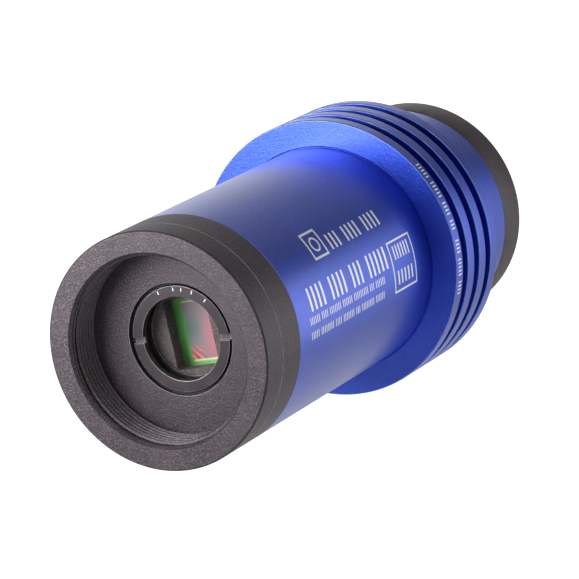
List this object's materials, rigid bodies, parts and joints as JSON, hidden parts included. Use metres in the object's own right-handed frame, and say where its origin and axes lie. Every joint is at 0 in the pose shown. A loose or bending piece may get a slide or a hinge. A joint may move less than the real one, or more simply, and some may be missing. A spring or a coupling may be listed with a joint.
{
  "type": "eyepiece barrel astronomy camera",
  "caption": "Cylindrical astronomy camera with an eyepiece-size nose, a lens thread, a windowed image sensor, a ring of cooling fins and rear data and guide sockets.",
  "frame": {"origin": "on the optical axis, in the plane of the fin collar's front shoulder, where the nosepiece stops in a focuser", "axes": "+Y runs back along the optical axis, from the open nose at -Y to the rear cover; +Z is along the sensor's long side; +X is along its short side"},
  "size_m": [0.0394, 0.0805, 0.0394],
  "materials": {
    "black_anodised": "bead-blasted black anodised aluminium",
    "blue_anodised": "satin blue anodised aluminium",
    "mask_black": "rough black anodised aluminium",
    "seal_rubber": "matt nitrile rubber",
    "slip_film": "smooth low-friction film",
    "window_glass": "polished, coated",
    "cover_glass": "polished",
    "sensor_green": "satin solder resist on laminate",
    "sensor_silicon": "faintly iridescent silicon",
    "gold": "bright plated",
    "board_green": "satin solder resist",
    "steel": "bright",
    "spreader_aluminium": "as machined",
    "connector_plastic": "matt",
    "flex_film": "glossy polyimide film",
    "chip_black": "matt moulded epoxy",
    "coil_grey": "matt moulded ferrite",
    "ceramic_tan": "matt fired ceramic",
    "thermal_pad": "soft filled silicone",
    "screw_black": "black oxide",
    "led_lens": "clear",
    "light_guide": "clear acrylic"
  },
  "bodies": {
    "camera": {"chamber_ring": "black_anodised", "chamber_seal": "seal_rubber", "window_glass": "window_glass", "window_seal": "seal_rubber", "sensor_mask": "mask_black", "sensor_cover_glass": "cover_glass", "sensor_package": "sensor_green", "sensor_die": "sensor_silicon", "bond_strips": "gold", "sensor_board": "board_green", "board_spacers": "steel", "sensor_screws": "steel", "sensor_connector": "connector_plastic", "flex_cable": "flex_film", "main_connector": "connector_plastic", "nose_tube": "blue_anodised", "finned_housing": "blue_anodised", "main_board": "board_green", "processor_chip": "chip_black", "memory_chips": "chip_black", "usb_chip": "chip_black", "power_coils": "coil_grey", "capacitors": "ceramic_tan", "crystal": "steel", "thermal_pad": "thermal_pad", "heat_spreader": "spreader_aluminium", "spreader_screws": "steel", "rear_cover": "black_anodised", "rear_seal": "seal_rubber", "cover_brackets": "steel", "bracket_screws": "steel", "cover_screws": "screw_black", "usb_shell": "steel", "usb_tongue": "chip_black", "usb_contacts": "gold", "guide_socket": "chip_black", "guide_contacts": "gold", "status_led": "led_lens", "light_pipe": "light_guide"},
    "nose_carriage": {"nose_seal": "seal_rubber"},
    "nose_turn": {"nose_ring": "black_anodised"},
    "window_carriage": {"slip_ring": "slip_film"},
    "window_turn": {"window_keeper": "black_anodised"}
  },
  "joints": [
    {"name": "nose_ring_travel", "type": "slide", "parent": "camera", "child": "nose_carriage", "axis": [0, -1, 0], "range_m": [0, 0.00175]},
    {"name": "nose_ring_turn", "type": "hinge", "parent": "nose_carriage", "child": "nose_turn", "pos_m": [0, -0.0493, 0], "axis": [0, -1, 0], "range_deg": [0, 1260]},
    {"name": "window_ring_travel", "type": "slide", "parent": "camera", "child": "window_carriage", "axis": [0, -1, 0], "range_m": [0, 0.00105]},
    {"name": "window_ring_turn", "type": "hinge", "parent": "window_carriage", "child": "window_turn", "pos_m": [0, -0.0425, 0], "axis": [0, -1, 0], "range_deg": [0, 1080]}
  ],
  "couplings": [
    {"joint": "nose_ring_turn", "follows": "nose_ring_travel", "rad_per_m": 12566},
    {"joint": "window_ring_turn", "follows": "window_ring_travel", "rad_per_m": 17952}
  ]
}
